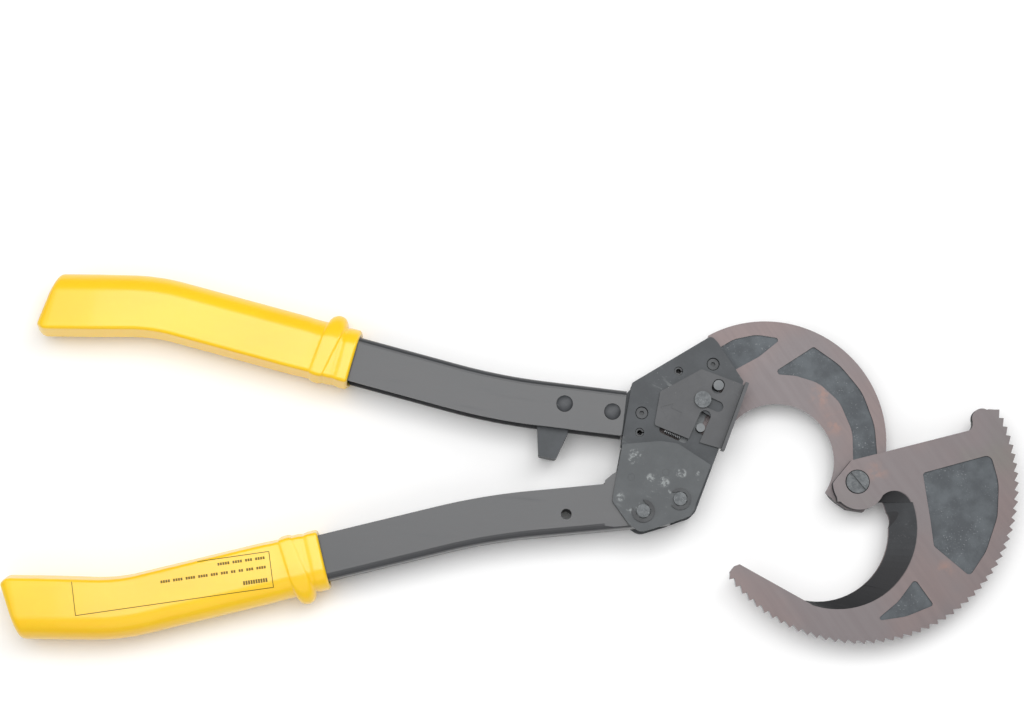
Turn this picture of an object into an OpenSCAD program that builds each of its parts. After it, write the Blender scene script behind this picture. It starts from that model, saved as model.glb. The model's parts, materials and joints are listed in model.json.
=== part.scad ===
// Two-handed ratchet cable cutter.
// The origin is on the blade pivot, on the plane that the tool rests on, with the jaws at +X.
// The moving blade lies in front of the fixed blade, and they shear at the height mid_z.

/* [Blades] */
// Radius over the tips of the ratchet teeth
tooth_tip_r = 97; // [96.8:0.1:97.2]
// Depth of a ratchet tooth
tooth_depth = 2.5; // [2.2:0.1:2.8]
// Teeth that a full circle would hold
teeth_per_turn = 106; // [106]
// Teeth cut on the moving blade
tooth_count = 51; // [48:1:51]
// Thickness of the moving blade
blade_t = 5.85; // [5.5:0.05:5.9]
// Depth of the milled panels on the blade faces
pocket_depth = 1; // [0.5:0.1:1.5]
// Radius of the blade pivot bolt
pivot_r = 5; // [4:0.1:5.5]

/* [Head] */
// Space between the two head plates
head_gap = 12.6; // [12.6]
// Thickness of a head plate
plate_t = 3; // [2.5:0.1:3]
// Thickness of the release slide
slide_t = 1.5; // [1.2:0.1:1.6]
// Height of the slide's bent thumb edge
thumb_h = 8; // [6:0.5:9]

/* [Handles] */
// Height of a handle channel in the plane of the tool
channel_h = 27.5; // [26:0.5:28]
// Outer width of a handle channel
channel_w = 23; // [23]
// Thickness of the channel's sheet
sheet_t = 2; // [1.8:0.1:2]
// Thickness of a cheek plate
cheek_t = 2.5; // [2:0.1:2.5]
// Radius of the lanyard hole through the lower channel
lanyard_r = 3.2; // [2.5:0.1:4]

/* [Grips] */
// Height of a grip in the plane of the tool
grip_h = 37; // [35:0.5:38]
// Width of a grip, which is also the whole tool's resting width
grip_w = 32; // [32]
// Straight length from the collar to the bend
grip_straight = 119; // [110:1:122]
// Straight length from the bend to the butt
grip_tail = 59; // [50:1:60]
// How far the hand guard stands out
guard_rise = 5.5; // [4:0.5:6]

/* [Hidden] */
$fn = 72;

// Height of the shear plane
mid_z = grip_w / 2;
// Half the clearance between the blade faces
shear_gap = 0.15;
// Clearance of a running fit on a pin, on the radius
run_fit = 0.05;

// Heights of the layers, from the shear plane outwards
plate_in = head_gap / 2;
plate_out = plate_in + plate_t;
flange_out = channel_w / 2;
flange_in = flange_out - sheet_t;
cheek_in = flange_out + 0.1;
cheek_out = cheek_in + cheek_t;
slide_z = mid_z + plate_out + 0.1;
slide_top = slide_z + slide_t;

// Centres of pins and screws
fulcrum = [-107.4, -11.9];
drive_pin_reach = 23.2;
drive_pin_turn = 198.5;
drive_pin_at = fulcrum + drive_pin_reach * [cos(drive_pin_turn), sin(drive_pin_turn)];
guide_at = [-93.4, 48.4];
holding_peg_at = [-83.8, 57.2];
drive_peg_at = [-94.8, 31.3];
head_screw_at = [[-130, 40.3], [-86.9, 70.3]];
head_dowel_at = [[-131.3, 28.5], [-107.8, 65.9]];
rivet_at = [[-176.6, 45.3], [-147.8, 40.7]];
cheek_rivet_at = [[-136.5, 1], [-116, 4]];
lanyard_at = [-175.3, -21.3];

// Travel of the slide, and how far it drops below rest to put the pawls in the teeth
slide_dir = [-0.9135, 0.4067];
slide_travel = 10;
slide_drop = 1.9;

// Pin radii
fulcrum_r = 3.9;
drive_r = 4;
guide_r = 3.1;
peg_r = 3.1;
drive_peg_r = 2.6;
hub_r = 5.8;

// Ratchet teeth run from lead_angle towards +X; the steep flank faces the tail
pitch = 360 / teeth_per_turn;
lead_angle = -142.6;
flank_turn = 0.79;
tip_turn = 0.14;

// Circles that shape the jaw openings, as [x, y, radius]
moving_edge = [-26.4, -28.9, 42.1];
moving_crest = [-13, -27.5, 49];
moving_neck = [7.7, -25.4, 9.3];
moving_notch = [22.4, -15.8, 10.6];
fixed_outer = [-53.9, 25.7, 72.5];
fixed_edge = [-48, 12.8, 33.9];
fixed_crest_r = 39;
knuckle = [1, -1, 15.8];
stop_lobe = [75.8, 38.8, 6.2];
// The straight inner side of the moving jaw's tip
jaw_line = [[-71.2, -50.1], [-32.4, -71.5]];

// A handle starts at [x, y, heading] and is a chain of steps, each [length, left turn in degrees]
upper_start = [-140.6, 39.9, 173.4];
lower_start = [-146.1, -16.2, 185.8];
upper_shank = [[50, 0], [55, 8.3], [62, 0]];
lower_shank = [[50, 0], [55, 8.3], [72.5, 0]];
grip_turn = 14.7;
grip_bend = 13;
guard_at = 11;
guard_len = 8;

// Outlines, as [x, y, corner radius]
head_outline = [[-142.3, 21.2, 1], [-135.9, 58.5, 2], [-87.9, 87.6, 3], [-84.3, 84, 3],
    [-68.6, 59.9, 1], [-84.2, 17.4, 1], [-99.5, -23.5, 9], [-113, -23.5, 9],
    [-119.3, -8, 6], [-127, 0, 3]];
cheek_outline = [[-141.8, 20.8, 1.5], [-118.7, 22.9, 12], [-108.5, 21.4, 9], [-88.8, 8.6, 1],
    [-100.6, -21.7, 4], [-115.3, -27.2, 2], [-131, -32, 7], [-138, -27.2, 3],
    [-147.7, -13.7, 2], [-147.3, -8.7, 2]];
slide_outline = [[-118.9, 53.2, 1], [-93.9, 67, 1.5], [-67.5, 57.2, 0], [-81.6, 18.6, 0],
    [-94.2, 22.2, 1], [-101.5, 24.5, 1.5], [-122.5, 32.9, 1.5]];
tongue_outline = [[-198.5, 36.5, 2], [-193.1, 35.5, 0], [-192.2, 14.1, 1.5], [-181.9, 12.2, 1.5],
    [-174.5, 28, 1], [-174, 31.5, 0], [-141, 27.5, 0], [-141, 51.4, 0], [-197, 57.8, 2]];
tongue_root = [[-141.2, 23.2, 0], [-122.5, 24.4, 1], [-121.5, 52, 1], [-136.2, 55.6, 1],
    [-141.2, 50, 0]];
flange_lobe = [[-152.2, -0.8, 1], [-147.2, 3.3, 0.5], [-139, 7, 2], [-112, 6, 6], [-96.8, -7, 6],
    [-98.5, -20.5, 7], [-114, -25.3, 0], [-146.5, -28.7, 0], [-152.2, -28, 0]];
sector_pocket = [[39.3, 5.6, 2], [80.5, 17.1, 4], [85, 0, 30], [83.8, -20.5, 20], [76.5, -41.5, 20],
    [66.5, -56.2, 2.5], [45.3, -38.4, 3], [43.4, -22, 30]];
wedge_pocket = [[33.6, -58, 2], [44.7, -73.6, 1.5], [28, -80.5, 20], [9.4, -83.4, 1.2],
    [23.5, -71.5, 20]];
leaf_pocket = [[-82.5, 81.6, 0], [-73.5, 87, 15], [-59.7, 90, 20], [-44.5, 87.6, 1.5],
    [-58, 76.5, 10], [-75, 67, 0]];
arc_pocket = [[-47.5, 68, 1.5], [-24.9, 82.8, 1.5], [-9, 71.5, 30], [4.5, 55, 30], [11.6, 35, 30],
    [13.3, 12, 0], [-1.6, 12, 0], [-1.9, 31, 20], [-9.5, 49, 18], [-22, 60.6, 20],
    [-36, 64.8, 10], [-46.2, 65.6, 1]];

// ---- helpers ----

function unit(v) = v / norm(v);

// Points of the arc that rounds corner p between its neighbours a and b
function corner(p, a, b, r) =
    let (u = unit(a - p), v = unit(b - p), half = acos(max(-1, min(1, u * v))) / 2)
    let (c = p + unit(u + v) * r / sin(half), s = p + u * r / tan(half) - c)
    let (e = p + v * r / tan(half) - c, turn = acos(max(-1, min(1, unit(s) * unit(e)))))
    let (way = s[0] * e[1] - s[1] * e[0] > 0 ? 1 : -1, n = max(1, ceil(turn / 9)))
    [for (k = [0 : n]) c + r * [cos(atan2(s[1], s[0]) + way * turn * k / n),
        sin(atan2(s[1], s[0]) + way * turn * k / n)]];

function flat(p) = [p[0], p[1]];

// An outline with its corners rounded by their own radii
function soft(pts) = let (n = len(pts)) [for (i = [0 : n - 1])
    each (pts[i][2] == 0 ? [flat(pts[i])]
        : corner(flat(pts[i]), flat(pts[(i + n - 1) % n]), flat(pts[(i + 1) % n]), pts[i][2]))];

function polar(r, a) = r * [cos(a), sin(a)];

function arc(c, r, from, to, n) = [for (k = [0 : n])
    [c[0] + r * cos(from + (to - from) * k / n), c[1] + r * sin(from + (to - from) * k / n)]];

// The pose at the end of one step of a chain, and after all of its steps
function after_step(pose, s) = s[1] == 0
    ? [pose[0] + s[0] * cos(pose[2]), pose[1] + s[0] * sin(pose[2]), pose[2]]
    : let (r = s[0] / (s[1] * PI / 180), a = pose[2], b = pose[2] + s[1])
        [pose[0] + r * (sin(b) - sin(a)), pose[1] - r * (cos(b) - cos(a)), b];
function after(pose, steps, i = 0) =
    i == len(steps) ? pose : after(after_step(pose, steps[i]), steps, i + 1);

// The pose at a distance along a chain
function pose_at(steps, d, pose = [0, 0, 0], i = 0) =
    d <= steps[i][0] || i == len(steps) - 1
        ? after_step(pose, [d, steps[i][1] * d / steps[i][0]])
        : pose_at(steps, d - steps[i][0], after_step(pose, steps[i]), i + 1);

// Stands at a pose in the plane of the tool, facing along its heading
module at_pose(pose) {
    translate([pose[0], pose[1], mid_z]) rotate([0, 0, pose[2]]) children();
}

// Mirrors its children across the path for a handle on the other side
module handed(side) {
    if (side > 0) {
        children();
    } else {
        mirror([0, 1, 0]) children();
    }
}

// One closed skin through a section at each pose; a section's first axis points to the left.
// A section runs there and back, so its ends are closed by rungs between its two halves.
module loft(poses, sections) {
    n = len(sections[0]);
    last = (len(poses) - 1) * n;
    rings = [for (i = [0 : len(poses) - 1]) let (q = poses[i])
        each [for (p = sections[i]) [q[0] - p[0] * sin(q[2]), q[1] + p[0] * cos(q[2]), p[1]]]];
    walls = [for (i = [0 : len(poses) - 2], k = [0 : n - 1]) let (a = i * n + k, b = i * n + (k + 1) % n)
        each [[a, a + n, b + n], [a, b + n, b]]];
    caps = [for (k = [0 : n / 2 - 2]) let (a = k, b = k + 1, c = n - 2 - k, d = n - 1 - k)
        each [[a, b, c, d], [last + d, last + c, last + b, last + a]]];
    polyhedron(rings, concat(walls, caps), convexity = 6);
}

// A wire swept along points, as one closed skin with flat ends
module wire(path, r, sides = 8) {
    n = len(path);
    function ahead(i) = unit(path[min(n - 1, i + 1)] - path[max(0, i - 1)]);
    function side_of(t) = unit(cross(t, abs(t[2]) < 0.9 ? [0, 0, 1] : [1, 0, 0]));
    rings = [for (i = [0 : n - 1]) let (t = ahead(i), u = side_of(t), v = cross(t, u))
        each [for (k = [0 : sides - 1]) let (a = 360 * k / sides) path[i] + r * (u * cos(a) + v * sin(a))]];
    walls = [for (i = [0 : n - 2], k = [0 : sides - 1]) let (a = i * sides, m = (k + 1) % sides)
        each [[a + k, a + sides + k, a + sides + m], [a + k, a + sides + m, a + m]]];
    caps = [[for (k = [0 : sides - 1]) k], [for (k = [sides - 1 : -1 : 0]) (n - 1) * sides + k]];
    polyhedron(rings, concat(walls, caps), convexity = 4);
}

// A layer between two heights that are counted from the shear plane
module layer(low, high) {
    translate([0, 0, mid_z + low]) linear_extrude(high - low) children();
}

module post(at, r, low, high) {
    translate([at[0], at[1], mid_z + low]) cylinder(r = r, h = high - low);
}

module disc(c) {
    translate([c[0], c[1]]) circle(r = c[2]);
}

// A slot between two points, with round ends
module capsule(a, b, r) {
    way = atan2(b[1] - a[1], b[0] - a[0]);
    polygon(concat(arc(b, r, way - 90, way + 90, 16), arc(a, r, way + 90, way + 270, 16)));
}

// The part of a circle that opens the moving jaw, above the jaw's straight tip and below its knuckle
module jaw_mouth(c) {
    slope = (jaw_line[1][1] - jaw_line[0][1]) / (jaw_line[1][0] - jaw_line[0][0]);
    function line_y(x) = jaw_line[0][1] + slope * (x - jaw_line[0][0]);
    intersection() {
        disc(c);
        polygon([[-110, line_y(-110)], [40, line_y(40)], [40, -12], [-110, -12]]);
    }
}

// ---- blades ----

// One side of the ratchet, tooth by tooth, with a slightly rounded tip on each
function teeth() = [for (i = [0 : tooth_count - 1]) let (a = lead_angle + i * pitch) each [
    polar(tooth_tip_r - 0.15, a - tip_turn), polar(tooth_tip_r, a),
    polar(tooth_tip_r - 0.3, a + tip_turn), polar(tooth_tip_r - tooth_depth, a + flank_turn)]];

module moving_outline() {
    polygon(concat(teeth(), [[79.5, 44.6], [70.2, 39.5]], arc([65.9, 35.2], 4, 10, -75, 6),
        [[-3.6, 12.9], [-14.2, 0], [-12, -12], [-14, -40], jaw_line[1], jaw_line[0], [-74.2, -51.2],
        [-76.9, -54.6]]));
    disc(stop_lobe);
    intersection() {
        disc(knuckle);
        polygon([[-14.2, 0], [-3.6, 12.9], [30, 21], [30, -30], [-30, -30]]);
    }
}

module moving_blade() color([0.52, 0.49, 0.49]) {
    low = shear_gap;
    high = shear_gap + blade_t;
    difference() {
        union() {
            difference() {
                layer(low, high) moving_outline();
                hull() {
                    layer(low - 1, low) jaw_mouth(moving_edge);
                    layer(high, high + 1) jaw_mouth(moving_crest);
                }
                hull() {
                    layer(low - 1, low) disc(moving_neck);
                    layer(high, high + 1) disc(moving_notch);
                }
            }
            layer(low, high) intersection() {
                disc(knuckle);
                polygon([[-14.2, 0], [-3.6, 12.9], [30, 21], [30, -30], [-30, -30]]);
            }
        }
        layer(high - pocket_depth, high + 1) polygon(soft(sector_pocket));
        layer(high - pocket_depth, high + 1) polygon(soft(wedge_pocket));
        post([0, 0], pivot_r + run_fit, 0, high + 1);
        post([0, 0], 7.3, high - 2.2, high + 1);
    }
}

module fixed_outline() {
    intersection() {
        union() {
            disc(fixed_outer);
            translate([-145, 15]) square([50, 70]);
        }
        polygon([[-48, 13], [-15.2, 9.1], [-19.2, -3.2], [-18.7, -6.4], [-13, -11.6], [-6.5, -16.2],
            [3.8, -17.8], [7.4, -15.4], [30, 0], [30, 110], [-89, 110], [-89, 86.4], [-134.6, 58.7],
            [-139.5, 24.5], [-84, 20.5]]);
    }
}

module fixed_blade() color([0.54, 0.51, 0.51]) {
    difference() {
        layer(-plate_in, -shear_gap) fixed_outline();
        hull() {
            layer(-shear_gap, 1) disc(fixed_edge);
            layer(-plate_in - 1, -plate_in) disc([fixed_edge[0], fixed_edge[1], fixed_crest_r]);
        }
        layer(-shear_gap - pocket_depth, 1) polygon(soft(leaf_pocket));
        layer(-shear_gap - pocket_depth, 1) polygon(soft(arc_pocket));
        post([0, 0], pivot_r + run_fit, -plate_in - 1, 1);
        for (p = head_screw_at) post(p, 2.6, -plate_in - 1, 1);
        for (p = head_dowel_at) post(p, 2.55, -plate_in - 1, 1);
    }
}

module pivot_bolt() color([0.42, 0.43, 0.45]) {
    head_low = shear_gap + blade_t - 2.1;
    head_high = shear_gap + blade_t + 0.7;
    difference() {
        union() {
            post([0, 0], pivot_r, -mid_z, head_low);
            post([0, 0], 6.8, head_low, head_high);
        }
        translate([0, 0, mid_z + head_high]) rotate(-50) cube([20, 1.4, 2.6], center = true);
    }
}

module pivot_washer() color([0.35, 0.35, 0.37]) {
    difference() {
        post([0, 0], 9, -plate_in - 1.5, -plate_in);
        post([0, 0], pivot_r + 0.15, -mid_z, 0);
    }
}

module pivot_nut() color([0.33, 0.33, 0.35]) {
    difference() {
        translate([0, 0, 1.2]) cylinder(r = 9.2, h = mid_z - plate_in - 2.7, $fn = 6);
        post([0, 0], pivot_r + 0.05, -mid_z - 1, 0);
    }
}

// ---- head ----

// The area that the drive peg covers as the handle closes and the slide travels
module drive_peg_window() {
    up = [2, 5.6];
    back = slide_travel * [-0.89, 0.54];
    r = drive_peg_r + 0.8;
    a = drive_peg_at - slide_drop * slide_dir;
    for (w = [0 : 0.25 : 1]) capsule(a + w * up, drive_peg_at + back + w * up, r);
}

module head_plate_shape() {
    difference() {
        polygon(soft(head_outline));
        disc([fulcrum[0], fulcrum[1], fulcrum_r + 0.02]);
        for (p = head_dowel_at) disc([p[0], p[1], 2.7]);
    }
}

module front_head_plate() color([0.36, 0.38, 0.4]) {
    difference() {
        layer(plate_in, plate_out) head_plate_shape();
        for (p = head_screw_at) post(p, 3.9, plate_in - 1, plate_out + 1);
        layer(plate_in - 1, plate_out + 1) drive_peg_window();
        layer(plate_in - 1, plate_out + 1)
            capsule(holding_peg_at - slide_drop * slide_dir,
                holding_peg_at + slide_travel * [-0.96, 0.28], peg_r + 0.5);
        layer(plate_in - 1, plate_out + 1) capsule([-117.2, 30.2], [-104.6, 24.6], 2.3);
        post(guide_at, guide_r + 0.02, plate_in - 1, plate_out + 1);
    }
}

module back_head_plate() color([0.36, 0.38, 0.4]) {
    difference() {
        layer(-plate_out, -plate_in) head_plate_shape();
        for (p = head_screw_at) post(p, 2.6, -plate_out - 1, -plate_in + 1);
    }
}

module handle_tongue() color([0.3, 0.31, 0.33]) {
    difference() {
        union() {
            layer(-plate_in, plate_in) polygon(soft(tongue_outline));
            layer(0, plate_in) polygon(soft(tongue_root));
        }
        for (p = rivet_at) post(p, 3.05, -plate_in - 1, plate_in + 1);
        post(head_screw_at[0], 2.6, -1, plate_in + 1);
        post(head_dowel_at[0], 2.55, -1, plate_in + 1);
    }
}

module nose_spacer() color([0.3, 0.31, 0.33]) {
    difference() {
        layer(-0.1, plate_in) capsule(head_screw_at[1], head_dowel_at[1], 4.1);
        post(head_screw_at[1], 2.6, -1, plate_in + 1);
        post(head_dowel_at[1], 2.55, -1, plate_in + 1);
    }
}

// Socket screws sunk in the front plate, with their nuts behind the back plate
module head_screws() color([0.25, 0.26, 0.28]) {
    for (p = head_screw_at) {
        difference() {
            union() {
                post(p, 2.5, -plate_out - 4.4, plate_in + 0.2);
                post(p, 3.4, plate_in, plate_out - 0.9);
                translate([p[0], p[1], mid_z - plate_out - 4]) cylinder(r = 4.6, h = 4, $fn = 6);
            }
            translate([p[0], p[1], mid_z + plate_out - 2.9]) cylinder(r = 1.5, h = 4, $fn = 6);
        }
    }
}

// Split spring pins
module head_dowels() color([0.2, 0.2, 0.22]) {
    for (p = head_dowel_at) {
        difference() {
            post(p, 2.5, -plate_out + 0.6, plate_out - 1);
            post(p, 1.5, -plate_out, plate_out);
            translate([p[0], p[1] - 0.3, 0]) cube([4, 0.6, 40]);
        }
    }
}

// ---- handles ----

// The channel's section, with its web to the left of the path
function channel_section() = let (half = channel_h / 2, bend = 4, c = half - bend, v = flange_out - bend)
    concat([[-half, -flange_out]], arc([c, -v], bend, -90, 0, 5), arc([c, v], bend, 0, 90, 5),
        [[-half, flange_out], [-half, flange_in]], arc([c, v], bend - sheet_t, 90, 0, 5),
        arc([c, -v], bend - sheet_t, 0, -90, 5), [[-half, -flange_in]]);

// A channel from its head end to just past the start of its grip's bend
module channel(shank) {
    steps = concat(shank, [[grip_straight - 4, 0]]);
    ends = [shank[0][0], shank[0][0] + shank[1][0]];
    full = ends[1] + shank[2][0] + grip_straight - 4;
    distances = concat([0], [for (k = [0 : 8]) ends[0] + (ends[1] - ends[0]) * k / 8], [full]);
    loft([for (d = distances) pose_at(steps, d)], [for (d = distances) channel_section()]);
}

module upper_channel() color([0.22, 0.23, 0.24]) {
    difference() {
        at_pose(upper_start) handed(-1) channel(upper_shank);
        for (p = rivet_at) post(p, 3.05, -mid_z, mid_z);
        translate([-143.3, 21.2, 0]) rotate(-9.74) translate([0, -20, 0]) cube([20, 80, 40]);
    }
}

module lower_channel() color([0.22, 0.23, 0.24]) {
    web_length = 32;
    difference() {
        union() {
            at_pose(lower_start) channel(lower_shank);
            at_pose([lower_start[0], lower_start[1], lower_start[2] - 180]) handed(-1) intersection() {
                loft([[-5, 0, 0], [web_length, 0, 0]], [channel_section(), channel_section()]);
                translate([-10, channel_h / 2 - sheet_t, -20]) cube([50, 9, 40]);
            }
            for (s = [-1, 1]) layer(s > 0 ? flange_in : -flange_out, s > 0 ? flange_out : -flange_in)
                polygon(soft(flange_lobe));
        }
        post(fulcrum, fulcrum_r + run_fit, -mid_z, mid_z);
        post(drive_pin_at, drive_r + run_fit, -mid_z, mid_z);
        post(lanyard_at, lanyard_r, -mid_z, mid_z);
        for (p = cheek_rivet_at) post(p, 2.05, -mid_z, mid_z);
    }
}

// A grip's section: how far it reaches to the left and to the right, and half its width
function grip_section(left, right, half_w, r) = concat(
    arc([left - r, r - half_w], r, -90, 0, 6), arc([left - r, half_w - r], r, 0, 90, 6),
    arc([r - right, half_w - r], r, 90, 180, 6), arc([r - right, r - half_w], r, 180, 270, 6));

// A moulded grip with its collar end at the start; the hand guard is to the right of the path
module grip() {
    bore = [grip_straight, channel_h + 0.2, channel_w + 0.2];
    steps = [[grip_straight, 0], [grip_bend, grip_turn], [grip_tail, 0]];
    full = grip_straight + grip_bend + grip_tail;
    h = grip_h / 2;
    w = grip_w / 2;
    // Stations: distance, reach to the left, reach to the right, half width
    stations = concat([[0, h - 1.5, h - 1.5, w - 1.5], [1.5, h, h, w - 0.5], [8, h, h, w - 0.5],
        [guard_at - 1, h - 0.6, h, w - 0.6], [guard_at + 2, h, h + guard_rise, w],
        [guard_at + guard_len, h, h + guard_rise * 0.7, w], [guard_at + 16, h, h + 0.8, w],
        [guard_at + 24, h, h, w]],
        [for (k = [0 : 4]) [grip_straight + grip_bend * k / 4, h, h, w]],
        [[full - 6, h + 1, h + 1, w], [full - 2, h, h, w - 1], [full, h - 4, h - 4, w - 4]]);
    difference() {
        loft([for (s = stations) pose_at(steps, s[0])],
            [for (s = stations) grip_section(s[1], s[2], s[3], 9)]);
        translate([-3, -bore[1] / 2, -bore[2] / 2]) cube(bore);
    }
}

module upper_grip() color([0.98, 0.88, 0.06]) {
    at_pose(after(upper_start, [for (s = upper_shank) [s[0], -s[1]]])) grip();
}

module lower_grip() color([0.98, 0.88, 0.06]) {
    at_pose(after(lower_start, lower_shank)) handed(-1) grip();
}

module tongue_rivets() color([0.3, 0.31, 0.32]) {
    for (p = rivet_at) {
        post(p, 3, -flange_out - 0.1, flange_out + 0.1);
        post(p, 5, flange_out, flange_out + 1);
        post(p, 5, -flange_out - 1, -flange_out);
        post(p, 4, flange_out + 0.9, flange_out + 1.4);
        post(p, 4, -flange_out - 1.4, -flange_out - 0.9);
    }
}

module tongue_spacers() color([0.28, 0.29, 0.3]) {
    for (p = rivet_at, s = [-1, 1]) {
        difference() {
            post(p, 6.5, s > 0 ? plate_in : -flange_in, s > 0 ? flange_in : -plate_in);
            post(p, 3.05, -mid_z, mid_z);
        }
    }
}

module cheek(low, high) {
    difference() {
        layer(low, high) polygon(soft(cheek_outline));
        post(fulcrum, fulcrum_r + run_fit, -mid_z, mid_z);
        post(drive_pin_at, drive_r + run_fit, -mid_z, mid_z);
        for (p = cheek_rivet_at) post(p, 2.05, -mid_z, mid_z);
    }
}

module front_cheek_plate() color([0.4, 0.41, 0.42]) {
    cheek(cheek_in, cheek_out);
}

module back_cheek_plate() color([0.4, 0.41, 0.42]) {
    cheek(-cheek_out, -cheek_in);
}

// Short rivets that hold the cheek plates to the channel's flanges, ground flush
module cheek_rivets() color([0.4, 0.41, 0.42]) {
    for (p = cheek_rivet_at, s = [-1, 1]) {
        post(p, 2, s > 0 ? flange_in + 0.02 : -cheek_out, s > 0 ? cheek_out : -flange_in - 0.02);
    }
}

// ---- pins and clips ----

// A headed pin with a groove for its retaining clip at the front
module clip_pin(at, r) {
    groove = cheek_out + 0.1;
    post(at, r + 1.6, -cheek_out - 1.4, -cheek_out - 0.1);
    post(at, r, -cheek_out - 0.2, groove);
    post(at, r - 0.8, groove - 0.1, groove + 1.1);
    post(at, r, groove + 1, mid_z - 0.2);
}

// An open retaining ring with three inner lugs; gap is where its mouth points
module clip(at, r, outer, gap) {
    difference() {
        layer(cheek_out + 0.15, cheek_out + 1.05) translate(at) difference() {
            circle(r = outer);
            circle(r = r + 0.7);
            rotate(gap) translate([0, -r]) square([outer + 1, 2 * r]);
        }
    }
    layer(cheek_out + 0.15, cheek_out + 1.05) translate(at) for (a = [gap + 98, gap + 180, gap - 98]) {
        rotate(a) translate([r - 0.75, -1.1]) square([2, 2.2]);
    }
}

module fulcrum_pin() color([0.45, 0.46, 0.47]) { clip_pin(fulcrum, fulcrum_r); }
module fulcrum_clip() color([0.35, 0.36, 0.37]) { clip(fulcrum, fulcrum_r, 6.5, 178); }
module drive_pin() color([0.45, 0.46, 0.47]) { clip_pin(drive_pin_at, drive_r); }
module drive_pin_clip() color([0.35, 0.36, 0.37]) { clip(drive_pin_at, drive_r, 6.8, 128); }

// ---- ratchet ----

// Turns its children about a point
module about(p, a) {
    translate([p[0], p[1]]) rotate(a) translate([-p[0], -p[1]]) children();
}

// A pawl's nose as it sits in the tooth space that follows the tip at angle a
module nose_in_space(a) {
    polygon([polar(95.5, a + 0.98), polar(95.5, a + 1.3), polar(97.2, a + 2.9), polar(101.5, a + 4.4),
        polar(101.5, a - 0.3), polar(97.2, a + 0.42)]);
}

drive_pawl_rise = slide_drop * 0.97;
holding_pawl_rise = slide_drop * 0.784;
drive_nose_tip = lead_angle + 360 - 16 * pitch;
holding_nose_tip = lead_angle + 360 - 19 * pitch;

module drive_pawl() color([0.38, 0.38, 0.4]) {
    low = 3.25;
    high = plate_in - 0.2;
    difference() {
        union() {
            layer(low, high) {
                difference() {
                    union() {
                        capsule(drive_pin_at, [-108.5, 12.5], hub_r - 0.3);
                        capsule([-108.5, 12.5], [-98.9, 29.2], 5.2);
                    }
                    circle(r = tooth_tip_r + slide_drop + 0.4, $fn = 180);
                }
                about(drive_pin_at, drive_pawl_rise) nose_in_space(drive_nose_tip);
            }
            post(drive_pin_at, hub_r, -flange_in + 0.2, flange_in - 0.2);
            post(drive_peg_at, drive_peg_r, high - 0.05, slide_top - mid_z + 1.3);
        }
        post(drive_pin_at, drive_r + run_fit, -mid_z, mid_z);
    }
}

module holding_pawl() color([0.38, 0.38, 0.4]) {
    low = 0.2;
    high = 3.05;
    inner = tooth_tip_r + slide_drop + 0.25;
    difference() {
        union() {
            layer(low, high) {
                difference() {
                    union() {
                        intersection() {
                            circle(r = 107, $fn = 180);
                            polygon([[0, 0], polar(160, 145.2), polar(160, 187)]);
                        }
                        disc([holding_peg_at[0], holding_peg_at[1], 4.4]);
                        capsule(fulcrum, polar(104, 180), hub_r - 0.3);
                    }
                    circle(r = inner, $fn = 180);
                }
                about(fulcrum, holding_pawl_rise) nose_in_space(holding_nose_tip);
            }
            post(fulcrum, hub_r, -plate_in + 0.2, plate_in - 0.2);
            post(holding_peg_at, 2, low, plate_in);
            post(holding_peg_at, peg_r, plate_in - 0.1, slide_top - mid_z + 1);
        }
        post(fulcrum, fulcrum_r + run_fit, -mid_z, mid_z);
    }
}

// A torsion spring round a pawl's hub, with one straight leg that leaves along a heading
module torsion_spring(at, low, turns, heading) {
    r = 0.5;
    ring_r = hub_r + 0.15 + r;
    steps = 20;
    leg = 15;
    rise = 2.1 * r;
    coil = [for (i = [0 : turns * steps]) let (a = heading - 90 - 360 * turns + 360 * i / steps)
        [at[0] + ring_r * cos(a), at[1] + ring_r * sin(a), mid_z + low + r + rise * i / steps]];
    last = coil[len(coil) - 1];
    wire(concat(coil, [last + leg * [cos(heading), sin(heading), 0]]), r);
}

module drive_pawl_spring() color([0.6, 0.6, 0.62]) {
    torsion_spring(drive_pin_at, -1.2, 4, 57);
}

module holding_pawl_spring() color([0.6, 0.6, 0.62]) {
    torsion_spring(fulcrum, -4.4, 4, 88);
}

// ---- release ----

module release_slide() color([0.45, 0.46, 0.47]) {
    across = [slide_dir[1], -slide_dir[0]];
    thumb_a = [-68, 58.4];
    thumb_b = [-82.9, 17.7];
    notch_top = drive_peg_at + 7.8 * across + 0.4 * slide_dir;
    arrow_at = [-112, 40.6];
    difference() {
        union() {
            translate([0, 0, slide_z]) linear_extrude(slide_t) polygon(soft(slide_outline));
            translate([0, 0, slide_z]) linear_extrude(slide_t + thumb_h)
                polygon([thumb_a, thumb_b, thumb_b + [1.9, -0.7], thumb_a + [1.9, -0.7]]);
        }
        translate([0, 0, slide_z - 1]) linear_extrude(slide_t + 2) {
            capsule(guide_at + slide_drop * slide_dir, guide_at - slide_travel * slide_dir, guide_r + 0.15);
            capsule(holding_peg_at + [0.1, 0.2], holding_peg_at + [-0.55, -1.5], peg_r + 0.5);
            capsule(notch_top, notch_top - 30 * across, drive_peg_r + 0.8);
        }
        // Plain arrow that shows which way to push
        translate([arrow_at[0], arrow_at[1], slide_top - 0.25]) rotate(156) linear_extrude(1)
            polygon([[7.5, 0], [1.5, 5], [1.5, 2.3], [-5.5, 2.3], [-5.5, -2.3], [1.5, -2.3], [1.5, -5]]);
    }
}

module guide_pin() color([0.5, 0.51, 0.52]) {
    post(guide_at, guide_r, plate_in, slide_top - mid_z + 0.15);
    post(guide_at, 5, slide_top - mid_z + 0.1, slide_top - mid_z + 1.9);
}

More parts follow.
